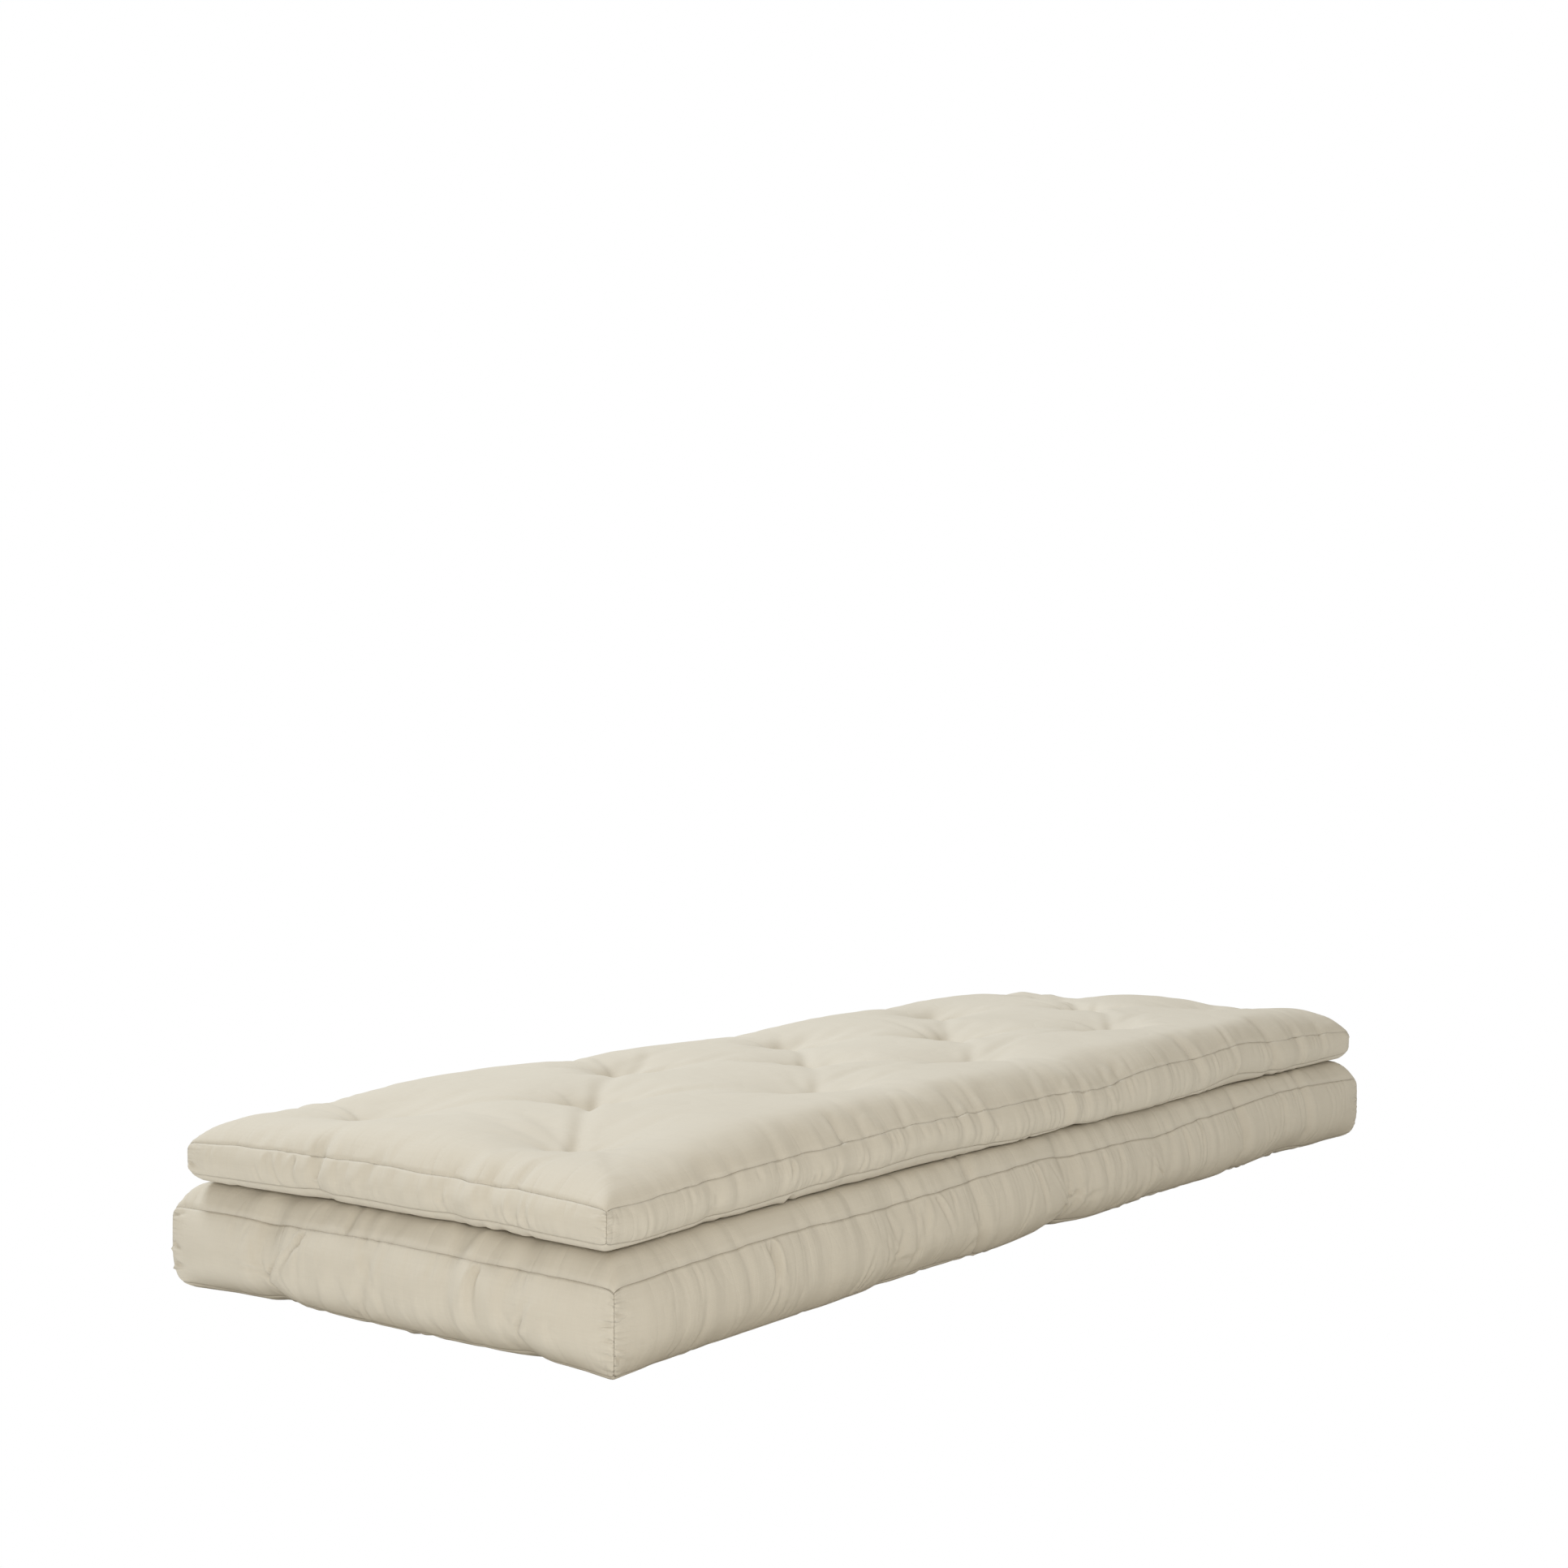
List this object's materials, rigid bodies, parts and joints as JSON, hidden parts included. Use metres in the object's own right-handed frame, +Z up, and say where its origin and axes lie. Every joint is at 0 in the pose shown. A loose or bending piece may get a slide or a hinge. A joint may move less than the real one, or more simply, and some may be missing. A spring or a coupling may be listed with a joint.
{
  "type": "futon mattress",
  "caption": "Single futon mattress in natural cotton: a thick base mattress under a thinner tufted topper, both folding at mid length.",
  "frame": {"origin": "on the floor, under the middle of the mattress", "axes": "+X along the length from the foot to the head, +Y across the width, +Z up"},
  "size_m": [2, 0.75, 0.236],
  "materials": {
    "canvas": "matte",
    "seam_thread": "matte",
    "twine": "matte",
    "batting": "matte",
    "foam": "matte"
  },
  "bodies": {
    "base_foot": {"base_foot_top_panel": "canvas", "base_foot_bottom_panel": "canvas", "base_foot_front_border": "canvas", "base_foot_back_border": "canvas", "base_foot_end_border": "canvas", "base_foot_low_seam": "seam_thread", "base_foot_high_seam": "seam_thread", "base_foot_corner_seams": "seam_thread", "base_foot_lower_batt": "batting", "base_foot_foam_core": "foam", "base_foot_upper_batt": "batting", "base_foot_ties": "twine"},
    "base_head": {"base_head_top_panel": "canvas", "base_head_bottom_panel": "canvas", "base_head_front_border": "canvas", "base_head_back_border": "canvas", "base_head_end_border": "canvas", "base_head_low_seam": "seam_thread", "base_head_high_seam": "seam_thread", "base_head_corner_seams": "seam_thread", "base_head_lower_batt": "batting", "base_head_foam_core": "foam", "base_head_upper_batt": "batting", "base_head_ties": "twine"},
    "topper_foot": {"topper_foot_top_panel": "canvas", "topper_foot_bottom_panel": "canvas", "topper_foot_front_border": "canvas", "topper_foot_back_border": "canvas", "topper_foot_end_border": "canvas", "topper_foot_low_seam": "seam_thread", "topper_foot_high_seam": "seam_thread", "topper_foot_corner_seams": "seam_thread", "topper_foot_lower_batt": "batting", "topper_foot_middle_batt": "batting", "topper_foot_upper_batt": "batting", "topper_foot_ties": "twine"},
    "topper_head": {"topper_head_top_panel": "canvas", "topper_head_bottom_panel": "canvas", "topper_head_front_border": "canvas", "topper_head_back_border": "canvas", "topper_head_end_border": "canvas", "topper_head_low_seam": "seam_thread", "topper_head_high_seam": "seam_thread", "topper_head_corner_seams": "seam_thread", "topper_head_lower_batt": "batting", "topper_head_middle_batt": "batting", "topper_head_upper_batt": "batting", "topper_head_ties": "twine"}
  },
  "joints": [
    {"name": "base_fold", "type": "hinge", "parent": "base_foot", "child": "base_head", "pos_m": [0, 0, 0.237], "axis": [0, -1, 0], "range_deg": [0, 90]},
    {"name": "topper_lift", "type": "slide", "parent": "base_foot", "child": "topper_foot", "axis": [0, 0, 1], "range_m": [0, 0.3]},
    {"name": "topper_fold", "type": "hinge", "parent": "topper_foot", "child": "topper_head", "pos_m": [0, 0, 0.237], "axis": [0, -1, 0], "range_deg": [0, 90]}
  ],
  "couplings": [
    {"joint": "topper_fold", "follows": "base_fold", "ratio": 1}
  ]
}
